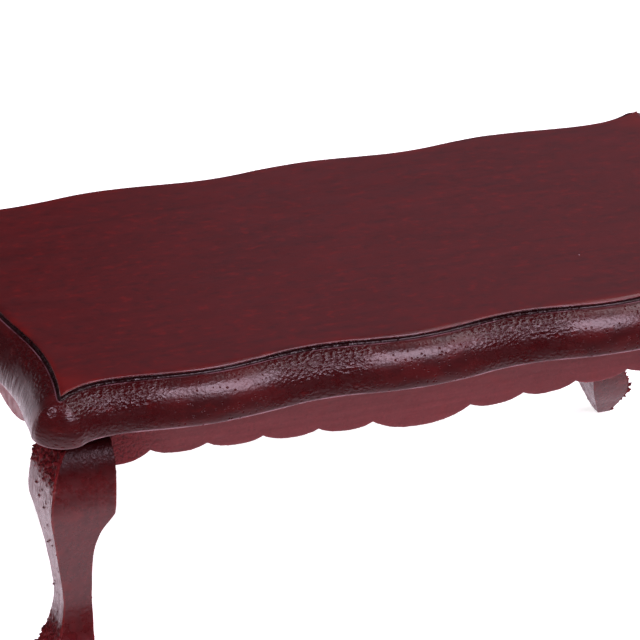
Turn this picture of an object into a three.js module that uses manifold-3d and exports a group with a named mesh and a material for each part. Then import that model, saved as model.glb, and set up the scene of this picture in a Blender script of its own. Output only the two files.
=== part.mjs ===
// Miniature dining table with a serpentine top, scalloped aprons and cabriole legs.
// One-twelfth scale, all sizes in millimetres. +Z is up, +X runs along the long side and
// the origin is on the floor, under the middle of the top.
import * as THREE from 'three';
import Module from 'manifold-3d';
import { mergeVertices } from 'three/addons/utils/BufferGeometryUtils.js';

const wasm = await Module();
wasm.setup();

// ---- overall sizes -------------------------------------------------------------------
const HEIGHT = 63.5;            // floor to the flat of the top
const TOP_LENGTH = 139.4;       // upper edge of the top, along X, to the middle of its waves
const TOP_DEPTH = 62.8;         // the same along Y
const TOP_THICKNESS = 7.9;
const GLUE_LINE = 0.1;          // film of glue between two pieces

// ---- serpentine outline of the top ----------------------------------------------------
// The wave is cut by hand, so along the front its crests lie a little to the left.
const FRONT_WAVE = { height: 0.82, count: 1.88, shift: -0.09, corner: 1.95, flareFrom: 0.83 };
const BACK_WAVE = { height: 0.82, count: 1.83, shift: 0, corner: 1.95, flareFrom: 0.83 };
const END_WAVE = { height: 1.1, count: 0.84, shift: 0, corner: 0.9, flareFrom: 0.79 };
const FLARE_POWER = 4;          // how sharply the corners turn out to a point
const SIDE_STEPS = 66;          // outline segments on a long side
const END_STEPS = 32;           // outline segments on an end
const CORNER_STEPS = 7;         // segments round each corner of the moulding

// ---- moulded edge of the top ------------------------------------------------------------
const QUIRK_DROP = 0.9;         // upright step under the upper edge
const QUIRK_REACH = 0.45;       // ledge at the foot of that step
const MOULD_REACH = 5.0;        // widest point of the moulding beyond the upper edge
const MOULD_TUCK = 3;           // degrees that the round goes on below its widest point
const MOULD_STEPS = 8;

// ---- legs -------------------------------------------------------------------------------
const LEG_LINE_X = 69.4;        // where the leg profile's zero line stands, from the middle
const LEG_LINE_Y = 30.8;
const LEG_BLANK = 11.4;         // the square stock that a leg is sawn from
const LEG_INNER = 9.4;          // inner face of the post, in from the zero line
const POST_FACE = 3.8;          // outer face of the slim post at the top of the leg

// Outer profile, floor upwards: [in from the zero line, height].
const LEG_OUTER = [
  [0.0, 0.0], [-0.8, 2.6], [-1.5, 5.6], [-1.1, 8.2], [0.1, 10.8], [1.6, 14.0], [2.3, 18.6],
  [1.7, 23.0], [0.5, 28.4], [-0.85, 34.2], [-1.85, 38.8], [-2.0, 41.6], [-1.5, 45.8],
  [-0.5, 48.4], [1.3, 50.6], [POST_FACE, 51.5],
];
// Inner profile, floor upwards, below the upright inner face of the post.
const LEG_INNER_CURVE = [
  [2.8, 0.0], [4.15, 2.6], [6.0, 6.2], [7.3, 10.4], [7.65, 15.4], [7.2, 21.4], [6.65, 27.6],
  [6.6, 31.4], [7.3, 34.8], [8.4, 36.9],
];
const LEG_SHOULDER = 38.6;      // height where the inner face turns upright

// ---- aprons -----------------------------------------------------------------------------
const APRON_THICKNESS = 2.1;
// Outer face in from the leg's zero line, and depth of the points beside the legs and at
// the middle of the board.
const LONG_APRON = { set: 7.3, endDepth: 11.5, middleDepth: 14.6 };
const SHORT_APRON = { set: 2.0, endDepth: 10.6, middleDepth: 11.7 };
const CENTRE_SCALLOP = { width: 18.7, drop: 2.4 };
const SMALL_SCALLOP = { width: 10.3, drop: 1.1 };
const END_SCALLOP = { width: 12.4, drop: 2.1 };   // cut off by the leg
const SCALLOP_FULLNESS = 2.5;   // 2 is a parabola, more is fuller towards the points
const SCALLOP_STEPS = 8;

// ---- derived sizes ------------------------------------------------------------------------
const UNDERSIDE = HEIGHT - TOP_THICKNESS;

const mahogany = (color, roughness) => new THREE.MeshStandardMaterial({ color, roughness, metalness: 0 });
const topFinish = () => mahogany(0x561f25, 0.3);
const apronFinish = () => mahogany(0x73393f, 0.5);
const legFinish = () => mahogany(0x6b2b33, 0.45);

// Offset of a wavy edge from its mean line; t runs from -1 at one corner to 1 at the other.
function waveOffset(wave, t) {
  const past = Math.max(0, (Math.abs(t) - wave.flareFrom) / (1 - wave.flareFrom));
  const ripple = wave.height * Math.cos(2 * Math.PI * wave.count * (t - wave.shift));
  return THREE.MathUtils.lerp(ripple, wave.corner, past ** FLARE_POWER);
}

// Upper edge of the top as a closed loop of { point, normal }, counter-clockwise from above.
// Each corner is one point that carries a fan of normals, so the moulding turns it round.
function topOutline() {
  const halfLength = TOP_LENGTH / 2;
  const halfDepth = TOP_DEPTH / 2;
  const cornerX = halfLength + END_WAVE.corner;
  const cornerY = halfDepth + FRONT_WAVE.corner;
  const side = (wave) => (t) => new THREE.Vector2(t * cornerX, -halfDepth - waveOffset(wave, t));
  const end = (t) => new THREE.Vector2(halfLength + waveOffset(END_WAVE, t), t * cornerY);
  const edges = [
    { at: side(FRONT_WAVE), steps: SIDE_STEPS, turn: 0 },
    { at: end, steps: END_STEPS, turn: 0 },
    { at: side(BACK_WAVE), steps: SIDE_STEPS, turn: Math.PI },
    { at: end, steps: END_STEPS, turn: Math.PI },
  ];
  const origin = new THREE.Vector2();
  const runs = edges.map(({ at, steps, turn }) => {
    const run = [];
    for (let i = 0; i <= steps; i += 1) {
      const t = -1 + 2 * i / steps;
      const before = at(Math.max(-1, t - 0.001));
      const after = at(Math.min(1, t + 0.001));
      const normal = new THREE.Vector2(after.y - before.y, before.x - after.x).normalize();
      run.push({ point: at(t).rotateAround(origin, turn), normal: normal.rotateAround(origin, turn) });
    }
    return run;
  });
  const loop = [];
  runs.forEach((run, i) => {
    loop.push(...run);
    const last = run[run.length - 1];
    const next = runs[(i + 1) % runs.length][0];
    const sweep = Math.acos(THREE.MathUtils.clamp(last.normal.dot(next.normal), -1, 1));
    for (let k = 1; k < CORNER_STEPS; k += 1) {
      const normal = last.normal.clone().rotateAround(origin, sweep * k / CORNER_STEPS);
      loop.push({ point: last.point, normal });
    }
  });
  return loop;
}

// The moulded edge from the upper edge down: [reach beyond the upper edge, height].
function mouldProfile() {
  const tuck = THREE.MathUtils.degToRad(MOULD_TUCK);
  const roundTop = HEIGHT - QUIRK_DROP;
  const roundHeight = (roundTop - UNDERSIDE) / (1 + Math.sin(tuck));
  const profile = [[0, HEIGHT], [0, roundTop]];
  for (let i = 0; i <= MOULD_STEPS; i += 1) {
    const angle = Math.PI / 2 - (Math.PI / 2 + tuck) * i / MOULD_STEPS;
    const reach = QUIRK_REACH + (MOULD_REACH - QUIRK_REACH) * Math.cos(angle);
    profile.push([reach, roundTop - roundHeight * (1 - Math.sin(angle))]);
  }
  return profile;
}

// Merges equal points and drops the triangles that the corner points squeeze to nothing.
function closedGeometry(positions, indices) {
  const loose = new THREE.BufferGeometry();
  loose.setAttribute('position', new THREE.Float32BufferAttribute(positions, 3));
  loose.setIndex(indices);
  const merged = mergeVertices(loose, 1e-4);
  const kept = [];
  for (let i = 0; i < merged.index.count; i += 3) {
    const [a, b, c] = [0, 1, 2].map((k) => merged.index.getX(i + k));
    if (a !== b && b !== c && c !== a) kept.push(a, b, c);
  }
  merged.setIndex(kept);
  return merged;
}

// The top is one board: rings of the outline, one for each point of the moulding's profile.
function tableTop() {
  const loop = topOutline();
  const profile = mouldProfile();
  const count = loop.length;
  const positions = [];
  const indices = [];
  for (const [reach, height] of profile) {
    for (const { point, normal } of loop) {
      positions.push(point.x + normal.x * reach, point.y + normal.y * reach, height);
    }
  }
  for (let ring = 0; ring + 1 < profile.length; ring += 1) {
    for (let i = 0; i < count; i += 1) {
      const j = (i + 1) % count;
      const [a, b] = [ring * count + i, ring * count + j];
      indices.push(a, a + count, b + count, a, b + count, b);
    }
  }
  const flatFace = (ring) => {
    const corner = (i) => new THREE.Vector2().fromArray(positions, 3 * (ring * count + i));
    const distinct = loop.map((_, i) => i)
      .filter((i) => corner(i).distanceTo(corner((i + 1) % count)) > 1e-4);
    return THREE.ShapeUtils.triangulateShape(distinct.map(corner), [])
      .map((triangle) => triangle.map((k) => ring * count + distinct[k]));
  };
  flatFace(0).forEach(([a, b, c]) => indices.push(a, b, c));
  flatFace(profile.length - 1).forEach(([a, b, c]) => indices.push(a, c, b));
  return closedGeometry(positions, indices);
}

// Profile of a leg in the plane of one of its sawn faces: x is in from the zero line, y is up.
function legProfile() {
  const points = (list) => list.map(([x, y]) => new THREE.Vector2(x, y));
  const shape = new THREE.Shape();
  shape.moveTo(...LEG_OUTER[0]);
  shape.splineThru(points(LEG_OUTER.slice(1)));
  shape.lineTo(POST_FACE, UNDERSIDE - GLUE_LINE);
  shape.lineTo(LEG_INNER, UNDERSIDE - GLUE_LINE);
  shape.lineTo(LEG_INNER, LEG_SHOULDER);
  shape.splineThru(points([...LEG_INNER_CURVE].reverse()));
  return shape;
}

function solidOf(geometry) {
  const bare = geometry.clone();
  bare.deleteAttribute('normal');
  bare.deleteAttribute('uv');
  const merged = mergeVertices(bare, 1e-4);
  return new wasm.Manifold(new wasm.Mesh({
    numProp: 3,
    vertProperties: new Float32Array(merged.attributes.position.array),
    triVerts: new Uint32Array(merged.index.array),
  }));
}

function geometryOf(solid) {
  const mesh = solid.getMesh();
  const geometry = new THREE.BufferGeometry();
  geometry.setAttribute('position', new THREE.Float32BufferAttribute(mesh.vertProperties, 3));
  geometry.setIndex([...mesh.triVerts]);
  return geometry;
}

// A leg is one piece of square stock sawn to the same profile on two faces, so it is what
// two crossed extrusions of that profile share. It stands in the corner x = y = 0.
function cabrioleLeg() {
  const depth = 2 * LEG_BLANK;
  const cut = new THREE.ExtrudeGeometry(legProfile(), { depth, curveSegments: 2, bevelEnabled: false });
  cut.rotateX(Math.PI / 2);
  const alongY = cut.clone().translate(0, depth / 2 + LEG_INNER / 2, 0);
  const alongX = cut.clone().translate(0, depth / 2 - LEG_INNER / 2, 0).rotateZ(Math.PI / 2);
  return geometryOf(solidOf(alongY).intersect(solidOf(alongX)));
}

// The scallops of an apron from one end of the board to the other: a wide one at the middle,
// small ones on both sides of it and one that the leg cuts off at each end.
function scallops(half) {
  const list = [{ middle: 0, ...CENTRE_SCALLOP }];
  let from = CENTRE_SCALLOP.width / 2;
  while (from < half) {
    const kind = half - from < SMALL_SCALLOP.width ? END_SCALLOP : SMALL_SCALLOP;
    const middle = from + kind.width / 2;
    list.push({ middle, ...kind });
    list.unshift({ middle: -middle, ...kind });
    from += kind.width;
  }
  return list;
}

// An apron board between two legs, along X, its outer face at y = 0 and the board behind it.
// Its lower edge is a row of scallops whose points hang along a shallow V.
function apronBoard(length, { endDepth, middleDepth }) {
  const half = length / 2;
  const pointDepth = (x) => THREE.MathUtils.lerp(middleDepth, endDepth, Math.abs(x) / half);
  const shape = new THREE.Shape();
  shape.moveTo(half, UNDERSIDE - GLUE_LINE);
  shape.lineTo(-half, UNDERSIDE - GLUE_LINE);
  for (const { middle, width, drop } of scallops(half)) {
    const left = middle - width / 2;
    for (let i = 0; i <= SCALLOP_STEPS; i += 1) {
      const x = THREE.MathUtils.clamp(left + width * i / SCALLOP_STEPS, -half, half);
      const along = (x - middle) / (width / 2);
      const chord = THREE.MathUtils.lerp(pointDepth(left), pointDepth(left + width), (along + 1) / 2);
      shape.lineTo(x, UNDERSIDE - chord - drop * (1 - Math.abs(along) ** SCALLOP_FULLNESS));
    }
  }
  const board = new THREE.ExtrudeGeometry(shape, { depth: APRON_THICKNESS, bevelEnabled: false });
  board.rotateX(Math.PI / 2).translate(0, APRON_THICKNESS, 0);
  return board;
}

// Puts a named piece on the table, turned about +Z by a number of quarter turns.
const table = new THREE.Group();
function place(name, geometry, material, x, y, quarterTurns) {
  const mesh = new THREE.Mesh(geometry, material);
  mesh.name = name;
  mesh.position.set(x, y, 0);
  mesh.rotation.z = quarterTurns * Math.PI / 2;
  table.add(mesh);
}

place('table_top', tableTop(), topFinish(), 0, 0, 0);

const leg = cabrioleLeg();
[
  ['front_left_leg', -1, -1, 0], ['front_right_leg', 1, -1, 1],
  ['back_right_leg', 1, 1, 2], ['back_left_leg', -1, 1, 3],
].forEach(([name, sideX, sideY, turns]) => {
  place(name, leg.clone(), legFinish(), sideX * LEG_LINE_X, sideY * LEG_LINE_Y, turns);
});

const longApron = apronBoard(2 * (LEG_LINE_X - LEG_INNER - GLUE_LINE), LONG_APRON);
const shortApron = apronBoard(2 * (LEG_LINE_Y - LEG_INNER - GLUE_LINE), SHORT_APRON);
const longSetY = LEG_LINE_Y - LONG_APRON.set;
const shortSetX = LEG_LINE_X - SHORT_APRON.set;
place('front_apron', longApron, apronFinish(), 0, -longSetY, 0);
place('right_apron', shortApron, apronFinish(), shortSetX, 0, 1);
place('back_apron', longApron.clone(), apronFinish(), 0, longSetY, 2);
place('left_apron', shortApron.clone(), apronFinish(), -shortSetX, 0, 3);

export default table;
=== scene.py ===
import math

import bmesh
import bpy
import numpy as np
from mathutils import Matrix, Vector, noise


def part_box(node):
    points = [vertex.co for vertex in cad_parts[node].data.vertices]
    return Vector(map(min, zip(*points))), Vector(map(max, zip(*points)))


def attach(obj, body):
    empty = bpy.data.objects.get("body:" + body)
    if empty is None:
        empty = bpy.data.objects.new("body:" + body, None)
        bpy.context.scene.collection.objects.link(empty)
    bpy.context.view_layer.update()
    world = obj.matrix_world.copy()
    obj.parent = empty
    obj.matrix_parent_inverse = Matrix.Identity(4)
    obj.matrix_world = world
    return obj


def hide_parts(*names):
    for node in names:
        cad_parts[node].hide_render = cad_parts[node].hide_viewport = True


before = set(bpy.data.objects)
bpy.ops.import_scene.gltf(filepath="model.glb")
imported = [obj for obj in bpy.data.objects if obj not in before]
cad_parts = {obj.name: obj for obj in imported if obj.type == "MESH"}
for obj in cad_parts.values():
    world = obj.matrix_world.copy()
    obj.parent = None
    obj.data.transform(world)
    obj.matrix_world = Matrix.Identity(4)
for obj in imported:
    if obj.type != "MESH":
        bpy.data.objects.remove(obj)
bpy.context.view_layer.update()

MM = 0.001


def box_mm(node):
    """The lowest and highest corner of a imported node, in millimetres."""
    return [np.array(corner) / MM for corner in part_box(node)]


# ---- sizes of the top ----------------------------------------------------------------------
TOP_LOW, TOP_HIGH = box_mm("table_top")
HEIGHT = TOP_HIGH[2]
UNDERSIDE = TOP_LOW[2]
TOP_LENGTH = 139.4              # upper edge, along X, to the middle of its waves
TOP_DEPTH = 62.8                # the same along Y
FRONT_WAVE = {"height": 0.82, "count": 1.88, "shift": -0.09, "corner": 1.95, "flare_from": 0.83}
BACK_WAVE = {"height": 0.82, "count": 1.83, "shift": 0.0, "corner": 1.95, "flare_from": 0.83}
END_WAVE = {"height": 1.1, "count": 0.84, "shift": 0.0, "corner": 0.9, "flare_from": 0.79}
FLARE_POWER = 4
QUIRK_DROP = 0.9                # upright step under the upper edge
QUIRK_REACH = 0.45              # ledge at the foot of that step
MOULD_REACH = 5.0               # widest point of the moulding beyond the upper edge
MOULD_TUCK = math.radians(3)    # how far the round goes on below its widest point
ARRIS = 0.2                     # softened radius of the upper edge and of the step's foot
LOWER_ARRIS = 0.22              # softened radius of the lower edge
RIM_DROOP = 0.24                # how far the flat falls at its rim where the edge bulges
RIM_WIDTH = 0.95                # how far in from the rim it starts to fall
LEAST_DROOP = 0.3               # part of that fall which is left where the edge is hollow
NOSE_TRIM = 0.12                # share of its reach that the moulding loses at a corner
NOSE_RUN = 6.0                  # length beside a corner over which it starts to
NOSE_START = 0.35               # part of the trim that is reached before the corner turns
FULL_BEND = 0.02                # bend of the edge, per millimetre, that counts as 1
CORNER_BEND = 0.1               # what the bend of a corner counts as
MOULD_WOBBLE = 0.08             # hand-cut unevenness of the moulding
MOULD_GRAIN = 0.004             # its fine unevenness
WOBBLE_START = 0.6              # reach at which both are in full

OUTLINE_STEP = 0.42             # spacing of points along the top's and the aprons' edges
SLOPE_STEP = 1e-4               # for the slope of a wave
FAN_STEPS = 18                  # points round each corner of the moulding
FLAT_RINGS = (3.2, 1.9, 1.1, 0.6, 0.32, ARRIS + 0.02)   # rings on the flat, in from the rim
STEP_RINGS = (0.35, 0.55)       # rings on the upright step, below the upper edge
ARRIS_STEPS = 4                 # parts of the arc at the upper edge
HOLLOW_STEPS = 3                # parts of the arc at the step's foot
ROUND_STEPS = 30                # parts of the moulding's round
LOWER_STEPS = 6                 # parts of the arc at the lower edge
UNDER_RINGS = (LOWER_ARRIS + 0.1, 1.2)  # rings on the underside, in from the lower edge
MERGE = 0.002                   # points nearer than this become one

# ---- sizes of the legs and aprons -----------------------------------------------------------
LEG_LINE_X = 69.4               # where the leg profile's zero line stands, from the middle
LEG_LINE_Y = 30.8
LEG_INNER = 9.4                 # inner face of the post, in from the zero line
POST_FACE = 3.8                 # outer face of the post
LEG_OUTER = [
    (0.0, 0.0), (-0.8, 2.6), (-1.5, 5.6), (-1.1, 8.2), (0.1, 10.8), (1.6, 14.0), (2.3, 18.6),
    (1.7, 23.0), (0.5, 28.4), (-0.85, 34.2), (-1.85, 38.8), (-2.0, 41.6), (-1.5, 45.8),
    (-0.5, 48.4), (1.3, 50.6), (POST_FACE, 51.5),
]
LEG_INNER_CURVE = [
    (2.8, 0.0), (4.15, 2.6), (6.0, 6.2), (7.3, 10.4), (7.65, 15.4), (7.2, 21.4), (6.65, 27.6),
    (6.6, 31.4), (7.3, 34.8), (8.4, 36.9), (LEG_INNER, 38.6),
]
LEG_EDGE = 0.22                 # softened radius of a leg's long edges
LEG_STEP = 0.20                 # spacing of a leg's rings
SOLE_RINGS = ((0.0, 0.16), (0.05, 0.05))    # height of each ring at the sole, and how far in
CRUMB_ROOM = 0.5                # how far grains may stand out of a leg's outer faces
CRUMB_SIZE = 0.62
KNEE_FROM = 43.5                # height at which the coarse end grain of the knee starts
FOOT_TO = 15.5                  # height at which that of the foot ends
SHADE_FROM = 44.8               # height at which the shade of the overhang starts
LEG_FADE = 3.0                  # length over which each of these sets in
COARSE_DEPTH = 5.0              # how far in from the outer faces the end grain is coarse
PLANED_SHARE = 0.12             # how much of it shows on faces cut along the grain
FACE_DEPTH = 0.3                # points nearer to an outer face than this belong to it
FINE_GRAIN = 0.02               # fine unevenness of legs and aprons

CENTRE_SCALLOP = (18.7, 2.4)    # width and drop
SMALL_SCALLOP = (10.3, 1.1)
END_SCALLOP = (12.4, 2.1)
SCALLOP_FULLNESS = 2.5
LONG_APRON = {"end": 11.5, "middle": 14.6}      # depth of the points between the scallops
SHORT_APRON = {"end": 10.6, "middle": 11.7}
APRON_EDGE = 0.16               # softened radius of an apron's lower edges
APRON_ARC = (0, 0.5, 1.05, 1.57)                # angles of the points round that radius
OUTER_ROWS = 30                 # rows of an apron's outer face
INNER_ROWS = 12                 # rows of its inner face
SAWN_EDGE = 0.06                # unevenness of an apron near its lower edge
SAWN_RUN = 0.5                  # how fast that dies away upwards

# ---- colours, in linear light ----------------------------------------------------------------
FLAT_DARK = (0.061, 0.0030, 0.0038)
FLAT_LIGHT = (0.072, 0.0035, 0.0044)
FLAT_STREAK = (0.046, 0.0030, 0.0040)
FLAT_RED_FLECK = (0.125, 0.0040, 0.0040)
FLAT_DARK_FLECK = (0.036, 0.0026, 0.0036)
FLAT_WORN = (0.130, 0.0026, 0.0016)
DUST = (0.45, 0.36, 0.36)
MOULD_THICK = (0.034, 0.0013, 0.0020)           # where the lacquer is thick
MOULD_THIN = (0.058, 0.0019, 0.0026)            # and where it is thin
MOULD_RED = (0.095, 0.0028, 0.0026)
# painted shade for the step, and painted highlights for the ledge and the lower edge
STEP_PAINTED_SHADE = (0.010, 0.0012, 0.0016)
LIP_PAINTED_HIGHLIGHT = (0.20, 0.105, 0.125)
LOW_EDGE_PAINTED_HIGHLIGHT = (0.22, 0.105, 0.125)
APRON_DARK = (0.142, 0.0078, 0.0115)
APRON_LIGHT = (0.176, 0.0120, 0.0170)
APRON_RED = (0.200, 0.008, 0.009)
LEG_DARK = (0.055, 0.0020, 0.0028)
LEG_LIGHT = (0.078, 0.0034, 0.0046)
LEG_RED = (0.14, 0.0045, 0.0042)
PORE = (0.040, 0.0012, 0.0014)
CRUMB = (0.16, 0.011, 0.014)
SHADE = (0.026, 0.0014, 0.0018)

# ---- where the top's looks change ---------------------------------------------------------------
# Distances down its profile, from the first ring of the flat.
OVER_ARRIS = (3.2, 3.4)         # from the flat to the moulded edge
STEP_START = (3.25, 3.5)        # the painted shade of the step sets in
STEP_END = (4.6, 4.2)           # and is gone
LIP_START = (4.36, 4.44)        # the painted highlight line on the ledge sets in
LIP_END = (4.64, 4.52)          # and is gone
CALM_START = (5.5, 8.0)         # the ends of the table lose their crackle
CRACKLE_FADE = (7.0, 10.5)      # crackle is weaker low on the moulding
LOW_START = (8.5, 11.0)         # streaks low on the ends of the table
TOP_CORNER = (70.0, 33.0, HEIGHT)
GLOSS = 0.5                     # specular level where no gloss is lost


# ---- meshes --------------------------------------------------------------------------------
def build_mesh(name, points, faces, attributes, merge=0.0):
    """A smooth-shaded mesh object from points in millimetres, with float point attributes."""
    mesh = bpy.data.meshes.new(name)
    mesh.from_pydata((np.asarray(points) * MM).tolist(), [], faces)
    for key, values in attributes.items():
        layer = mesh.attributes.new(key, "FLOAT", "POINT")
        layer.data.foreach_set("value", np.asarray(values, np.float32))
    if merge:
        work = bmesh.new()
        work.from_mesh(mesh)
        bmesh.ops.remove_doubles(work, verts=work.verts, dist=merge * MM)
        bmesh.ops.dissolve_degenerate(work, edges=work.edges, dist=merge * MM)
        work.to_mesh(mesh)
        work.free()
    mesh.shade_smooth()
    piece = bpy.data.objects.new(name, mesh)
    bpy.context.scene.collection.objects.link(piece)
    return piece


def read_points(mesh):
    """The mesh's points in millimetres."""
    flat = np.empty(3 * len(mesh.vertices))
    mesh.vertices.foreach_get("co", flat)
    return flat.reshape(-1, 3) / MM


def read_normals(mesh):
    """The mesh's normal at each point."""
    flat = np.empty(3 * len(mesh.vertices), np.float32)
    mesh.vertex_normals.foreach_get("vector", flat)
    return flat.reshape(-1, 3)


def read_attribute(mesh, key):
    """A float attribute at each point of the mesh."""
    values = np.empty(len(mesh.vertices), np.float32)
    mesh.attributes[key].data.foreach_get("value", values)
    return values


def noise_at(points, spacing, seed):
    """Smooth noise from -1 to 1 at each point; spacing is its size along X, Y and Z."""
    shift = Vector((seed * 17.3, seed * 5.1, seed * 9.7))
    scale = 1 / np.array(spacing, float)
    return np.array([noise.noise(Vector(p) + shift) for p in points * scale])


def displace(piece, heights, low, high):
    """Moves each point along its normal, and keeps it between two corners."""
    points = read_points(piece.data) + read_normals(piece.data) * heights[:, None]
    points = np.clip(points, low, high)
    piece.data.vertices.foreach_set("co", (points * MM).ravel())
    piece.data.update()


def tube_faces(rings, count, flip=False):
    """Quads between closed rings of points, each ring following the one before it, and a
    face over each end; flip turns all of them round."""
    faces = []
    for ring in range(rings - 1):
        for i in range(count):
            j = (i + 1) % count
            a, b = ring * count, (ring + 1) * count
            faces.append((a + i, b + i, b + j, a + j))
    last = (rings - 1) * count
    faces.append(tuple(range(count)))
    faces.append(tuple(last + i for i in reversed(range(count))))
    return [face[::-1] for face in faces] if flip else faces


def quarter_turns(quarter):
    """The matrix that turns a point about Z by so many quarter turns."""
    turn = quarter * math.pi / 2
    c, s = math.cos(turn), math.sin(turn)
    return np.array([[c, -s, 0], [s, c, 0], [0, 0, 1]])


# ---- the top ---------------------------------------------------------------------------------
def smooth_step(x):
    """Rises smoothly from 0 at 0 to 1 at 1."""
    x = np.clip(x, 0, 1)
    return x * x * (3 - 2 * x)


def wave_offset(wave, t):
    """How far an edge stands out from its mean line; t runs from -1 to 1 along the edge."""
    past = np.clip((np.abs(t) - wave["flare_from"]) / (1 - wave["flare_from"]), 0, None)
    past = past ** FLARE_POWER
    ripple = wave["height"] * np.cos(2 * np.pi * wave["count"] * (t - wave["shift"]))
    return ripple * (1 - past) + wave["corner"] * past


def top_edge(quarter, wave, half, mean):
    """One upper edge: its points, outward normals, bend, from -1 to 1, and lost reach."""
    turn = quarter * math.pi / 2
    along = np.array([math.cos(turn), math.sin(turn)])
    outward = np.array([math.sin(turn), -math.cos(turn)])
    t = np.linspace(-1, 1, round(2 * half / OUTLINE_STEP) + 1)
    offset = wave_offset(wave, t)
    rise = wave_offset(wave, t + SLOPE_STEP) - wave_offset(wave, t - SLOPE_STEP)
    slope = rise / (2 * SLOPE_STEP)
    points = np.outer(t * half, along) + np.outer(mean + offset, outward)
    normals = np.outer(np.full_like(t, half), outward) - np.outer(slope, along)
    normals /= np.linalg.norm(normals, axis=1)[:, None]
    bend = -np.gradient(np.gradient(offset, t), t) / half ** 2
    to_corner = (1 - np.abs(t)) * half
    trim = NOSE_TRIM * NOSE_START * (1 - smooth_step(to_corner / NOSE_RUN))
    return points, normals, np.clip(bend / FULL_BEND, -1, 1), trim


def top_outline():
    """The upper edge as a loop: points, outward normals, how much the edge bends outward
    there, whether it belongs to an end of the table, and how much of its reach it loses."""
    half_length = TOP_LENGTH / 2
    half_depth = TOP_DEPTH / 2
    corner_x = half_length + END_WAVE["corner"]
    corner_y = half_depth + FRONT_WAVE["corner"]
    edges = [  # quarter turns from the front, wave, half length, mean distance
        (2, BACK_WAVE, corner_x, half_depth), (3, END_WAVE, corner_y, half_length),
        (0, FRONT_WAVE, corner_x, half_depth), (1, END_WAVE, corner_y, half_length),
    ]
    runs = [top_edge(*edge) for edge in edges]
    part_turned = np.arange(1, FAN_STEPS) / FAN_STEPS
    corner_trim = NOSE_TRIM * (NOSE_START + (1 - NOSE_START) * np.sin(np.pi * part_turned))
    loop = {"point": [], "normal": [], "bend": [], "end": [], "trim": []}
    for index, (points, normals, bend, trim) in enumerate(runs):
        next_normal = runs[(index + 1) % len(runs)][1][0]
        sweep = math.acos(np.clip(normals[-1] @ next_normal, -1, 1))
        fan = []
        for k in range(1, FAN_STEPS):
            angle = sweep * k / FAN_STEPS
            c, s = math.cos(angle), math.sin(angle)
            fan.append(np.array([[c, -s], [s, c]]) @ normals[-1])
        loop["point"] += [*points, *[points[-1]] * len(fan)]
        loop["normal"] += [*normals, *fan]
        loop["bend"] += [*bend, *[CORNER_BEND] * len(fan)]
        loop["end"] += [*[edges[index][0] % 2] * len(bend), *[0] * len(fan)]
        loop["trim"] += [*trim, *corner_trim]
    return {key: np.array(values) for key, values in loop.items()}


def top_profile():
    """Rings of the top from its flat over the edge to its underside: (reach, height)."""
    round_top = HEIGHT - QUIRK_DROP
    round_height = (round_top - UNDERSIDE - LOWER_ARRIS) / (1 + math.sin(MOULD_TUCK))
    rings = [(-inset, HEIGHT) for inset in FLAT_RINGS]
    for step in range(ARRIS_STEPS + 1):
        angle = math.pi / 2 * (1 - step / ARRIS_STEPS)
        rings.append((ARRIS * (math.cos(angle) - 1), HEIGHT - ARRIS * (1 - math.sin(angle))))
    rings += [(0, HEIGHT - drop) for drop in STEP_RINGS]
    rings.append((0, round_top + ARRIS))
    for step in range(1, HOLLOW_STEPS + 1):
        angle = math.pi * (1 + step / (2 * HOLLOW_STEPS))
        rings.append((ARRIS * (1 + math.cos(angle)), round_top + ARRIS * (1 + math.sin(angle))))
    for step in range(ROUND_STEPS):
        angle = math.pi / 2 - (math.pi / 2 + MOULD_TUCK) * step / ROUND_STEPS
        reach = QUIRK_REACH + (MOULD_REACH - QUIRK_REACH) * math.cos(angle)
        rings.append((reach, round_top - round_height * (1 - math.sin(angle))))
    foot = QUIRK_REACH + (MOULD_REACH - QUIRK_REACH) * math.cos(MOULD_TUCK)
    for step in range(1, LOWER_STEPS + 1):
        angle = math.pi / 2 * step / LOWER_STEPS
        reach = foot - LOWER_ARRIS * (1 - math.cos(angle))
        rings.append((reach, UNDERSIDE + LOWER_ARRIS * (1 - math.sin(angle))))
    rings += [(foot - inset, UNDERSIDE) for inset in UNDER_RINGS]
    return rings


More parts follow.
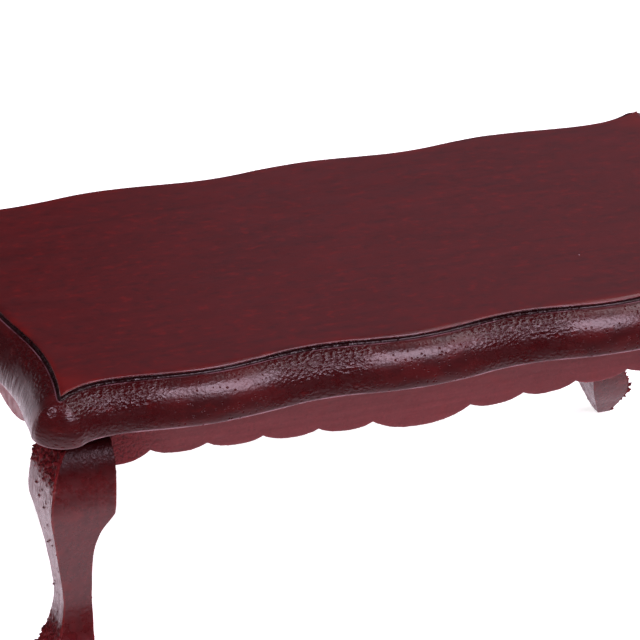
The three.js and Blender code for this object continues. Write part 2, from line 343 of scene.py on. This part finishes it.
def make_top():
    """The top as one board, with attributes that tell its finish where it is."""
    loop = top_outline()
    profile = top_profile()
    count = len(loop["point"])
    corner = loop["point"].max(axis=0)
    bulge = LEAST_DROOP + (1 - LEAST_DROOP) * np.clip(loop["bend"] * 0.6 + 0.4, 0, 1)
    rings = []
    for reach, height in profile:
        shrink = 1 + min(reach, 0) / corner
        lowness = (HEIGHT - height) / (HEIGHT - UNDERSIDE)
        kept = 1 - loop["trim"] * (1 + lowness)
        flat = loop["point"] * shrink + loop["normal"] * max(reach, 0) * kept[:, None]
        fall = RIM_DROOP * np.clip(1 + reach / RIM_WIDTH, 0, 1) ** 2
        fall *= np.clip((height - HEIGHT + QUIRK_DROP) / QUIRK_DROP, 0, 1)
        rings.append(np.column_stack([flat, height - fall * bulge]))
    middle = rings[len(rings) // 2]
    travel = np.linalg.norm(np.diff(middle, axis=0, append=middle[:1]), axis=1)
    along = np.concatenate([[0], np.cumsum(travel)[:-1]])
    steps = [math.dist(a, b) for a, b in zip(profile, profile[1:])]
    across = np.concatenate([[0], np.cumsum(steps)])
    low_edge = [float(UNDERSIDE < height < UNDERSIDE + LOWER_ARRIS) for _, height in profile]
    attributes = {
        "reach": np.repeat([reach for reach, _ in profile], count),
        "along": np.tile(along, len(rings)),
        "across": np.repeat(across, count),
        "low_edge": np.repeat(low_edge, count),
        "bend": np.tile(loop["bend"], len(rings)),
        "end": np.tile(loop["end"], len(rings)),
    }
    faces = tube_faces(len(rings), count)
    piece = build_mesh("top_board", np.concatenate(rings), faces, attributes, merge=MERGE)
    points = read_points(piece.data)
    on_mould = np.clip(read_attribute(piece.data, "reach") / WOBBLE_START, 0, 1)
    wobble = MOULD_WOBBLE * noise_at(points, (6, 6, 3), 1)
    wobble = wobble + MOULD_GRAIN * noise_at(points, (1.1, 1.1, 0.9), 2)
    displace(piece, (wobble - MOULD_WOBBLE / 2) * on_mould, TOP_LOW, TOP_HIGH)
    return piece


# ---- legs -----------------------------------------------------------------------------------
def spline_through(knots, per_span=12):
    """Points along the Catmull-Rom curve through the knots."""
    knots = np.array(knots, float)
    out = []
    for i in range(len(knots) - 1):
        p0, p1 = knots[max(i - 1, 0)], knots[i]
        p2, p3 = knots[i + 1], knots[min(i + 2, len(knots) - 1)]
        for s in np.arange(per_span) / per_span:
            m1, m2 = (p2 - p0) / 2, (p3 - p1) / 2
            out.append((2 * s**3 - 3 * s**2 + 1) * p1 + (s**3 - 2 * s**2 + s) * m1
                       + (3 * s**2 - 2 * s**3) * p2 + (s**3 - s**2) * m2)
    return np.array([*out, knots[-1]])


def leg_sides(heights):
    """Distance of a leg's outer and inner faces from the zero line at each height."""
    outer = spline_through(LEG_OUTER)
    inner = spline_through(LEG_INNER_CURVE[:-1])
    inner = np.vstack([inner, LEG_INNER_CURVE[-1]])
    return (np.interp(heights, outer[:, 1], outer[:, 0]),
            np.interp(heights, inner[:, 1], inner[:, 0]))


def square_ring(low, high, radius, side_points=42, arc_points=4):
    """A square with rounded corners, counter-clockwise from (low, low), and 1 at each point
    of its corners, 0 between them."""
    near, far = low + radius, high - radius
    angles = np.radians(90 * np.arange(arc_points + 1) / arc_points)
    arcs = []
    for index, centre in enumerate(((near, near), (far, near), (far, far), (near, far))):
        turned = angles + math.pi * (1 + index / 2)
        arcs.append(np.array(centre) + radius * np.column_stack([np.cos(turned), np.sin(turned)]))
    ring, corner = [], []
    for arc, following in zip(arcs, arcs[1:] + arcs[:1]):
        ring += [*arc, *np.linspace(arc[-1], following[0], side_points + 1)[1:-1]]
        corner += [1.0] * len(arc) + [0.0] * (side_points - 1)
    return np.array(ring), corner


def crumbs(points, size, seed):
    """Grains of end wood, 0 to 1, where two noises of nearly one size are both high."""
    first = noise_at(points, (size, size, size), seed)
    second = noise_at(points, (size * 0.6, size * 0.6, size * 0.6), seed + 50)
    return np.clip(first * 1.3 + second * 0.9 - 0.18, 0, 1)


def leg_levels(top):
    """Heights of a leg's rings: evenly spaced, and at each knot of its profile."""
    knots = [z for _, z in LEG_OUTER + LEG_INNER_CURVE]
    levels = np.unique(np.round(np.concatenate([np.arange(0, top, LEG_STEP), knots, [top]]), 3))
    return levels[np.concatenate([[True], np.diff(levels) > LEG_STEP / 3])]


def make_leg(name, side_x, side_y, quarter):
    """One cabriole leg, its two sawn outer faces turned towards its corner of the table."""
    low, high = box_mm(name)
    levels = leg_levels(high[2])
    outer, inner = leg_sides(levels)
    slope = np.gradient(outer, levels)
    rings = [(height, outer[0] + inset, inner[0] - inset, slope[0]) for height, inset in SOLE_RINGS]
    rings += zip(levels[1:], outer[1:], inner[1:], slope[1:])
    points, sawn, corner = [], [], []
    for height, outer_face, inner_face, tilt in rings:
        ring, at_corner = square_ring(outer_face, inner_face, LEG_EDGE)
        points.append(np.column_stack([ring, np.full(len(ring), height)]))
        sawn.append(np.full(len(ring), min(1.0, abs(tilt) * 1.2)))
        corner += at_corner
    count = len(points[0])
    points = np.concatenate(points)
    world = points @ quarter_turns(quarter).T + np.array([side_x * LEG_LINE_X, side_y * LEG_LINE_Y, 0])

    outer_at = np.interp(points[:, 2], levels, outer)
    knee_top = np.clip((world[:, 2] - KNEE_FROM) / LEG_FADE, 0, 1)
    foot = np.clip((FOOT_TO - world[:, 2]) / LEG_FADE, 0, 1)
    nearest = np.minimum(points[:, 0], points[:, 1])
    outward = np.clip((COARSE_DEPTH - nearest + outer_at) / LEG_FADE, 0, 1)
    end_grain_face = np.abs(points[:, quarter % 2] - outer_at) < FACE_DEPTH
    coarse = np.maximum(knee_top, foot) * outward * np.where(end_grain_face, 1.0, PLANED_SHARE)
    under_top = np.clip((world[:, 2] - SHADE_FROM) / LEG_FADE, 0, 1) * (1 - coarse)
    attributes = {
        "sawn": np.concatenate(sawn), "corner": corner, "coarse": coarse, "under_top": under_top,
    }
    faces = tube_faces(len(rings), count, flip=True)
    piece = build_mesh(name.replace("_leg", "_cabriole"), world, faces, attributes)
    ridged = read_normals(piece.data)[:, 0] ** 2
    piece.data.attributes.new("ridged", "FLOAT", "POINT").data.foreach_set("value", ridged)

    seed = 10 + quarter
    saw_ridges = 0.06 * ridged * noise_at(world, (1.0, 1.0, 9), seed)
    fine = FINE_GRAIN * noise_at(world, (0.8, 0.8, 0.8), seed + 4)
    grains = 1.1 * crumbs(world, CRUMB_SIZE, seed + 8) * coarse * (0.25 + 0.75 * ridged)
    lone_grains = 1.6 * np.clip(noise_at(world, (0.6, 0.6, 0.6), seed + 12) - 0.62, 0, 1) * ridged
    heights = saw_ridges + fine + grains + lone_grains
    room = np.array([CRUMB_ROOM, CRUMB_ROOM, 0])
    displace(piece, heights - FINE_GRAIN, low - room, high + room)
    return piece


# ---- aprons ------------------------------------------------------------------------------------
def scallops(half):
    """(middle, width, drop) of each scallop, from one end of the board to the other."""
    found = [(0.0, *CENTRE_SCALLOP)]
    start = CENTRE_SCALLOP[0] / 2
    while start < half:
        width, drop = END_SCALLOP if half - start < SMALL_SCALLOP[0] else SMALL_SCALLOP
        found.append((start + width / 2, width, drop))
        found.insert(0, (-start - width / 2, width, drop))
        start += width
    return found


def scallop_hang(t, left, right, drop):
    """How deep a scallop hangs at t, from -1 to 1 over its width, between its two points."""
    return left + (right - left) * (t + 1) / 2 + drop * (1 - np.abs(t) ** SCALLOP_FULLNESS)


def apron_edge(half, depths):
    """The scalloped lower edge: points along the board and how deep each one hangs."""
    def point_depth(x):
        return depths["middle"] + (depths["end"] - depths["middle"]) * np.abs(x) / half
    xs, hang = [], []
    for middle, width, drop in scallops(half):
        t = np.linspace(-1, 1, round(width / OUTLINE_STEP))
        x = middle + t * width / 2
        left, right = point_depth(x[0]), point_depth(x[-1])
        inside = np.abs(x) < half - 0.05
        xs += list(x[inside])
        hang += list(scallop_hang(t[inside], left, right, drop))
        if x[0] < -half or x[-1] > half:
            end = math.copysign(half, middle)
            xs.append(end)
            hang.append(scallop_hang((end - middle) / (width / 2), left, right, drop))
    order = np.argsort(xs, kind="stable")
    xs, hang = np.array(xs)[order], np.array(hang)[order]
    keep = np.concatenate([[True], np.diff(xs) > 0.01])
    return xs[keep], hang[keep]


def apron_section(thickness, bottom, top):
    """(y, z) down an apron's outer face, round its lower edges and up its inner face."""
    r = APRON_EDGE
    arc_top = bottom + r
    section = [(0, top + (arc_top - top) * k / OUTER_ROWS) for k in range(OUTER_ROWS + 1)]
    section += [(r * (1 - math.cos(a)), bottom + r * (1 - math.sin(a))) for a in APRON_ARC[1:]]
    section.append((thickness / 2, bottom))
    for a in APRON_ARC[:-1]:
        section.append((thickness - r * (1 - math.sin(a)), bottom + r * (1 - math.cos(a))))
    for k in range(INNER_ROWS + 1):
        section.append((thickness, arc_top + (top - bottom - r) * k / INNER_ROWS))
    return section


def make_apron(name, quarter, depths):
    """One scalloped apron, its outer face turned from the front by so many quarter turns."""
    low, high = box_mm(name)
    size = high - low
    half = max(size[0], size[1]) / 2
    thickness = min(size[0], size[1])
    columns = []
    edge_distance = []
    xs, hang = apron_edge(half, depths)
    for x, depth in zip(xs, hang):
        bottom = UNDERSIDE - depth
        section = apron_section(thickness, bottom, high[2])
        columns.append([(x, y, z) for y, z in section])
        edge_distance += [z - bottom for _, z in section]
    points = np.array(columns).reshape(-1, 3)
    turn = quarter * math.pi / 2
    outward = np.array([math.sin(turn), -math.cos(turn), 0])
    face_centre = (low + high) / 2 + outward * thickness / 2
    world = points @ quarter_turns(quarter).T + np.array([face_centre[0], face_centre[1], 0])
    attributes = {"end_gap": half - np.abs(points[:, 0])}
    faces = tube_faces(len(columns), len(columns[0]), flip=True)
    piece = build_mesh(name.replace("_apron", "_apron_board"), world, faces, attributes)

    seed = 20 + quarter
    near_edge = np.exp(-np.array(edge_distance) / SAWN_RUN)
    heights = FINE_GRAIN * noise_at(world, (2, 2, 2), seed)
    heights += (0.012 + SAWN_EDGE * near_edge) * noise_at(world, (0.7, 0.7, 0.7), seed + 4)
    displace(piece, heights - FINE_GRAIN, low, high)
    return piece


# ---- materials ------------------------------------------------------------------------------------
class Shader:
    """A node material being built; each method adds nodes and gives back an output socket."""

    def __init__(self, name):
        self.material = bpy.data.materials.new(name)
        self.material.use_nodes = True
        self.tree = self.material.node_tree
        self.surface = self.tree.nodes["Principled BSDF"]
        where = self.tree.nodes.new("ShaderNodeTexCoord")
        self.mm = self.vector_math("SCALE", where.outputs["Object"], scale=1 / MM)

    def set_input(self, socket, value):
        if isinstance(value, bpy.types.NodeSocket):
            self.tree.links.new(value, socket)
        else:
            socket.default_value = value

    def vector_math(self, operation, a, b=None, scale=None, output=0):
        node = self.tree.nodes.new("ShaderNodeVectorMath")
        node.operation = operation
        self.set_input(node.inputs[0], a)
        if b is not None:
            self.set_input(node.inputs[1], b)
        if scale is not None:
            node.inputs["Scale"].default_value = scale
        return node.outputs[output]

    def math(self, operation, a, b):
        node = self.tree.nodes.new("ShaderNodeMath")
        node.operation = operation
        self.set_input(node.inputs[0], a)
        self.set_input(node.inputs[1], b)
        return node.outputs[0]

    def plus(self, a, b):
        return self.math("ADD", a, b)

    def minus(self, a, b):
        return self.math("SUBTRACT", a, b)

    def times(self, a, b):
        return self.math("MULTIPLY", a, b)

    def larger(self, a, b):
        return self.math("MAXIMUM", a, b)

    def attribute(self, name):
        node = self.tree.nodes.new("ShaderNodeAttribute")
        node.attribute_name = name
        return node.outputs["Fac"]

    def combine(self, x, y, z):
        node = self.tree.nodes.new("ShaderNodeCombineXYZ")
        for socket, value in zip(node.inputs, (x, y, z)):
            self.set_input(socket, value)
        return node.outputs[0]

    def noise(self, where, spacing, detail=3.0, roughness=0.55):
        """Noise about 0.5; spacing is its size in millimetres, for all axes or for each."""
        if not hasattr(spacing, "__len__"):
            spacing = (spacing,) * 3
        stretched = self.vector_math("DIVIDE", where, spacing)
        node = self.tree.nodes.new("ShaderNodeTexNoise")
        self.set_input(node.inputs["Vector"], stretched)
        node.inputs["Scale"].default_value = 1.0
        node.inputs["Detail"].default_value = detail
        node.inputs["Roughness"].default_value = roughness
        return node.outputs["Fac"]

    def cells(self, where, spacing):
        """Distance to the nearest of many scattered points, as a share of their spacing."""
        stretched = self.vector_math("DIVIDE", where, (spacing,) * 3)
        node = self.tree.nodes.new("ShaderNodeTexVoronoi")
        self.set_input(node.inputs["Vector"], stretched)
        node.inputs["Scale"].default_value = 1.0
        return node.outputs["Distance"]

    def range(self, value, low, high, to_low=0.0, to_high=1.0):
        """Maps value smoothly from low..high to to_low..to_high, and clamps it."""
        node = self.tree.nodes.new("ShaderNodeMapRange")
        node.interpolation_type = "SMOOTHSTEP"
        numbers = {"From Min": low, "From Max": high, "To Min": to_low, "To Max": to_high}
        for key, number in numbers.items():
            node.inputs[key].default_value = number
        self.set_input(node.inputs["Value"], value)
        return node.outputs["Result"]

    def mix(self, factor, a, b):
        """Colour a where factor is 0, colour b where it is 1."""
        node = self.tree.nodes.new("ShaderNodeMix")
        node.data_type = "RGBA"
        self.set_input(node.inputs[0], factor)
        for socket, value in ((node.inputs[6], a), (node.inputs[7], b)):
            self.set_input(socket, (*value, 1.0) if isinstance(value, tuple) else value)
        return node.outputs[2]

    def bump(self, height, distance, normal=None):
        """Bump whose height runs from 0 to 1 over a distance in millimetres."""
        node = self.tree.nodes.new("ShaderNodeBump")
        node.inputs["Strength"].default_value = 1.0
        node.inputs["Distance"].default_value = distance * MM
        self.set_input(node.inputs["Height"], height)
        if normal is not None:
            self.set_input(node.inputs["Normal"], normal)
        return node.outputs["Normal"]

    def finish(self, colour, roughness, normal, specular):
        self.set_input(self.surface.inputs["Base Color"], colour)
        self.set_input(self.surface.inputs["Roughness"], roughness)
        self.set_input(self.surface.inputs["Normal"], normal)
        self.set_input(self.surface.inputs["Specular IOR Level"], specular)
        return self.material


def flat_colour(s, streak, fleck):
    """The flat of the top: streaks, flecks and dust, and red where its corners and rim are worn."""
    cloud = s.noise(s.mm, (13, 8, 8), detail=2)
    colour = s.mix(s.range(cloud, 0.3, 0.7), FLAT_DARK, FLAT_LIGHT)
    colour = s.mix(s.range(streak, 0.5, 0.66, 0, 0.5), colour, FLAT_STREAK)
    colour = s.mix(s.range(fleck, 0.54, 0.73, 0, 0.55), colour, FLAT_RED_FLECK)
    colour = s.mix(s.range(fleck, 0.47, 0.28, 0, 0.6), colour, FLAT_DARK_FLECK)

    above = s.vector_math("MULTIPLY", s.mm, (1, 1, 0))
    dusty = s.range(s.noise(above, 30), 0.48, 0.56)
    dust = s.times(s.range(s.cells(above, 7.5), 0.017, 0.010), dusty)
    colour = s.mix(dust, colour, DUST)

    reach = s.attribute("reach")
    offset = s.vector_math("SUBTRACT", s.vector_math("ABSOLUTE", s.mm), TOP_CORNER)
    from_corner = s.vector_math("LENGTH", offset, output=1)
    patchy = s.range(s.noise(s.mm, (5, 3, 3)), 0.35, 0.6, 0.5, 1)
    corner = s.times(s.range(from_corner, 11, 1), patchy)
    strip = s.times(s.range(reach, -1.4, -0.4), s.range(from_corner, 17, 4))
    strip = s.times(strip, s.range(s.noise(s.mm, 5.0), 0.38, 0.6, 0.3, 0.9))
    rim = s.times(s.range(reach, -2.4, -0.1, 0, 0.6), s.range(s.noise(s.mm, 9.0), 0.42, 0.62))
    worn = s.larger(s.larger(s.times(corner, 0.75), strip), rim)
    return s.mix(worn, colour, FLAT_WORN)


def edge_colour(s, across, run, convex):
    """The moulded edge: redder on its bulges, with painted shade in the step and painted highlights on
    two thin lines.
    """
    blotch = s.noise(run, (7, 3, 1), detail=3)
    thin = s.times(convex, s.range(blotch, 0.35, 0.65))
    colour = s.mix(thin, MOULD_THICK, MOULD_THIN)
    red_spot = s.range(s.noise(run, (2.4, 1.6, 1), detail=3), 0.55, 0.8, 0, 0.5)
    colour = s.mix(red_spot, colour, MOULD_RED)
    # painted highlight: a patchy pale lilac line along the moulding's sharp lower edge
    patchy = s.range(s.noise(run, (5, 5, 1)), 0.4, 0.6, 0.25, 1)
    low_edge_painted_highlight = s.times(s.range(s.attribute("low_edge"), 0.4, 1.0), patchy)
    colour = s.mix(low_edge_painted_highlight, colour, LOW_EDGE_PAINTED_HIGHLIGHT)
    # painted shade: the step's upright face is darkened nearly to black, as if it lay in shadow
    in_step = s.times(s.range(across, *STEP_START), s.range(across, *STEP_END))
    colour = s.mix(s.times(in_step, 0.85), colour, STEP_PAINTED_SHADE)
    # painted highlight: a thin, patchy pale lilac line on the ledge at the step's foot
    on_lip = s.times(s.range(across, *LIP_START), s.range(across, *LIP_END))
    patchy = s.range(s.noise(run, (8, 5, 1)), 0.42, 0.58, 0.10, 0.85)
    return s.mix(s.times(on_lip, patchy), colour, LIP_PAINTED_HIGHLIGHT)


def top_lacquer():
    """Deep maroon lacquer: calm on the flat, glossy and pitted on the bulges of the moulding,
    crackled in its hollows."""
    s = Shader("top_lacquer_finish")
    across = s.attribute("across")
    end = s.attribute("end")
    run = s.combine(s.attribute("along"), across, 0.0)
    mould = s.range(across, *OVER_ARRIS)
    flat_share = s.minus(1.0, mould)
    convex = s.range(s.attribute("bend"), -1.0, 0.9)
    streak = s.noise(s.mm, (24, 2.0, 2.0), detail=4)
    fleck = s.noise(s.mm, (2.0, 1.0, 1.0), detail=3)
    colour = s.mix(mould, flat_colour(s, streak, fleck), edge_colour(s, across, run, convex))

    dull = s.range(s.noise(run, (2.2, 1.6, 1)), 0.42, 0.64, 0.30, 0.18)
    rough_mould = s.plus(s.times(convex, 0.28), s.times(s.minus(1.0, convex), dull))
    rough_flat = s.range(s.noise(s.mm, (9, 3, 3), detail=3), 0.3, 0.7, 0.28, 0.36)
    roughness = s.plus(s.times(flat_share, rough_flat), s.times(mould, rough_mould))

    grain = s.plus(s.times(streak, 0.5), s.times(fleck, 0.5))
    normal = s.bump(s.times(grain, flat_share), 0.010)

    peel = s.noise(run, (0.75, 0.52, 1), detail=2, roughness=0.4)
    amount = s.times(s.range(convex, 0.0, 0.95, 1.0, 0.17), s.range(across, *CRACKLE_FADE, 1.0, 0.3))
    calm = s.times(end, s.range(across, *CALM_START, 0, 0.85))
    cracked = s.times(s.times(mould, amount), s.minus(1.0, calm))
    normal = s.bump(s.times(cracked, peel), 0.36, normal)

    fine = s.noise(run, (0.5, 0.42, 1), detail=1)
    normal = s.bump(s.times(mould, fine), 0.02, normal)

    pitted = s.times(convex, s.range(s.noise(run, (5, 2, 1)), 0.36, 0.50))
    pits = s.times(s.times(mould, pitted), s.range(s.cells(run, 0.9), 0.27, 0.14))
    normal = s.bump(s.minus(1.0, pits), 0.06, normal)

    end_streak = s.noise(run, (1.2, 4.5, 1), detail=1.5)
    low_end = s.times(s.range(across, *LOW_START), end)
    normal = s.bump(s.times(low_end, end_streak), 0.25, normal)

    lost_gloss = s.times(s.range(peel, 0.60, 0.42, 0.06, 0.36), cracked)
    lost_gloss = s.larger(lost_gloss, s.times(pits, 0.45))
    return s.finish(colour, roughness, normal, s.minus(GLOSS, lost_gloss))


def stain(s, grain, dark, light, red, roughness, coarse):
    """Satin maroon stain on wood: its colour, roughness, normal and the noise of its pores.
    Grain is the noise size along X, Y and Z; coarse runs from 0, planed, to 1, end grain."""
    streak = s.noise(s.mm, grain, detail=4)
    speckle = s.noise(s.mm, 0.5, detail=2)
    patch = s.noise(s.mm, (6, 6, 4), detail=2)
    pores = s.noise(s.mm, 0.6, detail=2)
    colour = s.mix(s.range(streak, 0.3, 0.7), dark, light)
    colour = s.mix(s.range(speckle, 0.56, 0.74, 0, 0.6), colour, tuple(c * 1.35 for c in light))
    colour = s.mix(s.range(speckle, 0.44, 0.28, 0, 0.5), colour, tuple(c * 0.55 for c in dark))
    colour = s.mix(s.times(s.range(pores, 0.52, 0.38, 0, 0.8), coarse), colour, PORE)
    colour = s.mix(s.range(patch, 0.55, 0.75, 0, 0.5), colour, red)
    level = s.range(s.noise(s.mm, 1.6, detail=3), 0.3, 0.7, roughness - 0.07, roughness + 0.08)
    level = s.plus(level, s.times(coarse, 0.2))
    normal = s.bump(s.plus(s.times(streak, 0.5), s.times(speckle, 0.5)), 0.045)
    normal = s.bump(s.times(pores, coarse), 0.32, normal)
    return colour, level, normal, pores


def stain_gloss(s, lost):
    """The specular level of stained wood; lost runs from 0 to 1."""
    return s.minus(GLOSS, s.times(lost, 0.38))


def apron_stain(name, grain):
    """Stain on an apron, coarser towards the legs."""
    s = Shader(name)
    coarse = s.range(s.attribute("end_gap"), 16.0, 2.0, 0.06, 0.8)
    colour, level, normal, _ = stain(s, grain, APRON_DARK, APRON_LIGHT, APRON_RED, 0.44, coarse)
    return s.finish(colour, level, normal, stain_gloss(s, coarse))


def leg_stain():
    """Stain on a leg: crumbly on its end grain, red on its corners, with painted shade under the top.
    """
    s = Shader("leg_stain_finish")
    end_grain = s.attribute("coarse")
    coarse = s.larger(end_grain, s.range(s.attribute("sawn"), 0.35, 0.9, 0.08, 0.35))
    colour, level, normal, pores = stain(s, (0.9, 0.9, 12), LEG_DARK, LEG_LIGHT, LEG_RED, 0.28, coarse)
    patchy = s.range(s.noise(s.mm, (3, 3, 5)), 0.42, 0.62, 0.1, 0.8)
    colour = s.mix(s.times(s.attribute("corner"), patchy), colour, LEG_RED)
    colour = s.mix(s.times(end_grain, s.range(pores, 0.42, 0.55, 0, 0.85)), colour, CRUMB)
    # painted shade: the leg is darkened and its gloss lowered towards the top, where the overhang
    # shades it
    shaded = s.times(s.attribute("under_top"), 0.85)
    colour = s.mix(shaded, colour, SHADE)
    ridge = s.noise(s.mm, (0.7, 0.7, 2.6), detail=3)
    normal = s.bump(s.times(ridge, s.attribute("ridged")), 0.22, normal)
    return s.finish(colour, level, normal, stain_gloss(s, s.larger(coarse, shaded)))


# ---- the table's pieces -------------------------------------------------------------------------
def dress(piece, node, material):
    """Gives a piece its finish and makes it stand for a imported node."""
    piece.data.materials.append(material)
    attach(piece, "root")
    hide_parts(node)


dress(make_top(), "table_top", top_lacquer())

leg_material = leg_stain()
for name, side_x, side_y, quarter in (
    ("front_left_leg", -1, -1, 0), ("front_right_leg", 1, -1, 1),
    ("back_right_leg", 1, 1, 2), ("back_left_leg", -1, 1, 3),
):
    dress(make_leg(name, side_x, side_y, quarter), name, leg_material)

long_material = apron_stain("long_apron_stain_finish", (12, 0.9, 0.9))
short_material = apron_stain("short_apron_stain_finish", (0.9, 12, 0.9))
for name, quarter, depths, material in (
    ("front_apron", 0, LONG_APRON, long_material), ("right_apron", 1, SHORT_APRON, short_material),
    ("back_apron", 2, LONG_APRON, long_material), ("left_apron", 3, SHORT_APRON, short_material),
):
    dress(make_apron(name, quarter, depths), name, material)


# ---- studio ----------------------------------------------------------------------------------------
FLOOR_HALF = 3.0                # metres
FLOOR_GAP = 0.00002             # metres between the floor and the soles
LILAC = (1.0, 0.77, 0.95)
WARM = (1.0, 0.9, 0.97)
LIGHTS = [  # name, azimuth, elevation, distance, width and height in metres, power, colour
    ("front_softbox", 28, 48, 0.8, (0.32, 0.50), 4.9, LILAC),
    ("left_strip", -86, 50, 0.8, (0.12, 0.4), 2.4, LILAC),
    ("right_fill", 98, 45, 1.0, (0.8, 0.6), 5.2, WARM),
    ("back_card", 146, 28, 0.6, (0.3, 0.25), 0.05, LILAC),
]
LIGHT_AIM = 0.7                 # share of the table's height that the lights look at
WORLD_DIM = 0.085               # strength of the world where it doesn't glow
WORLD_GLOW = 1.15               # and what is added to it where it does
WORLD_COLOUR = (1.0, 0.86, 0.98, 1)
FAR_LEFT = (-0.45, 0.79, -0.38)
STRAIGHT_DOWN = (0, 0, -1)
CAMERA_ANGLES = (25.87, 29.03, 4.0)             # azimuth, elevation and roll
CAMERA_AIM = (-20.8, -23.4, HEIGHT)             # in millimetres
CAMERA_DISTANCE = 575.3                         # in millimetres
CAMERA_LENS = 193.2             # focal length for a sensor 36 mm wide


def make_floor():
    """A pale floor that glossy rays don't see."""
    half = FLOOR_HALF
    corners = [(-half, -half, 0), (half, -half, 0), (half, half, 0), (-half, half, 0)]
    mesh = bpy.data.meshes.new("floor")
    mesh.from_pydata(corners, [], [(0, 1, 2, 3)])
    floor = bpy.data.objects.new("floor", mesh)
    bpy.context.scene.collection.objects.link(floor)
    floor.location.z = -FLOOR_GAP
    floor.visible_glossy = False
    s = Shader("pale_floor")
    s.surface.inputs["Base Color"].default_value = (0.86, 0.86, 0.87, 1)
    s.surface.inputs["Roughness"].default_value = 0.9
    s.surface.inputs["Emission Color"].default_value = (1, 1, 1, 1)
    s.surface.inputs["Emission Strength"].default_value = 0.85
    mesh.materials.append(s.material)


def area_light(name, azimuth, elevation, distance, size, power, colour):
    """A soft light of a width and height that looks at the table; azimuth 0 is in front."""
    a, e = math.radians(azimuth), math.radians(elevation)
    target = Vector((0, 0, HEIGHT * MM * LIGHT_AIM))
    offset = Vector((math.sin(a) * math.cos(e), -math.cos(a) * math.cos(e), math.sin(e))) * distance
    data = bpy.data.lights.new(name, "AREA")
    data.shape = "RECTANGLE"
    data.size, data.size_y = size
    data.energy = power
    data.color = colour
    lamp = bpy.data.objects.new(name, data)
    lamp.location = target + offset
    lamp.rotation_euler = (-offset).to_track_quat("-Z", "Y").to_euler()
    lamp.visible_camera = False
    bpy.context.scene.collection.objects.link(lamp)


def make_world():
    """A dim room that is bright at the far left and straight down."""
    world = bpy.data.worlds.new("studio")
    world.use_nodes = True
    tree = world.node_tree
    where = tree.nodes.new("ShaderNodeTexCoord")

    def glow(direction, start, full):
        dot = tree.nodes.new("ShaderNodeVectorMath")
        dot.operation = "DOT_PRODUCT"
        tree.links.new(where.outputs["Generated"], dot.inputs[0])
        dot.inputs[1].default_value = Vector(direction).normalized()
        level = tree.nodes.new("ShaderNodeMapRange")
        for key, number in (("From Min", start), ("From Max", full), ("To Max", WORLD_GLOW)):
            level.inputs[key].default_value = number
        tree.links.new(dot.outputs["Value"], level.inputs["Value"])
        return level.outputs["Result"]

    with_left = tree.nodes.new("ShaderNodeMath")
    with_left.inputs[0].default_value = WORLD_DIM
    tree.links.new(glow(FAR_LEFT, 0.88, 0.97), with_left.inputs[1])
    total = tree.nodes.new("ShaderNodeMath")
    tree.links.new(with_left.outputs[0], total.inputs[0])
    tree.links.new(glow(STRAIGHT_DOWN, 0.40, 0.50), total.inputs[1])
    background = tree.nodes["Background"]
    background.inputs["Color"].default_value = WORLD_COLOUR
    tree.links.new(total.outputs[0], background.inputs["Strength"])
    bpy.context.scene.world = world


def make_camera():
    """A long lens that looks down at the front left of the top."""
    azimuth, elevation, roll = (math.radians(angle) for angle in CAMERA_ANGLES)
    forward = Vector((math.sin(azimuth) * math.cos(elevation),
                      math.cos(azimuth) * math.cos(elevation), -math.sin(elevation)))
    level_right = Vector((math.cos(azimuth), -math.sin(azimuth), 0))
    level_up = level_right.cross(forward)
    right = math.cos(roll) * level_right + math.sin(roll) * level_up
    up = right.cross(forward)
    place = Vector(CAMERA_AIM) * MM - forward * (CAMERA_DISTANCE * MM)
    data = bpy.data.cameras.new("photo_camera")
    data.sensor_width = 36
    data.lens = CAMERA_LENS
    data.clip_start = 0.01
    camera = bpy.data.objects.new("photo_camera", data)
    camera.matrix_world = Matrix((
        (right.x, up.x, -forward.x, place.x),
        (right.y, up.y, -forward.y, place.y),
        (right.z, up.z, -forward.z, place.z),
        (0, 0, 0, 1),
    ))
    bpy.context.scene.collection.objects.link(camera)
    bpy.context.scene.camera = camera


make_floor()
make_world()
for light in LIGHTS:
    area_light(*light)
bpy.context.scene.view_settings.view_transform = "Standard"
make_camera()
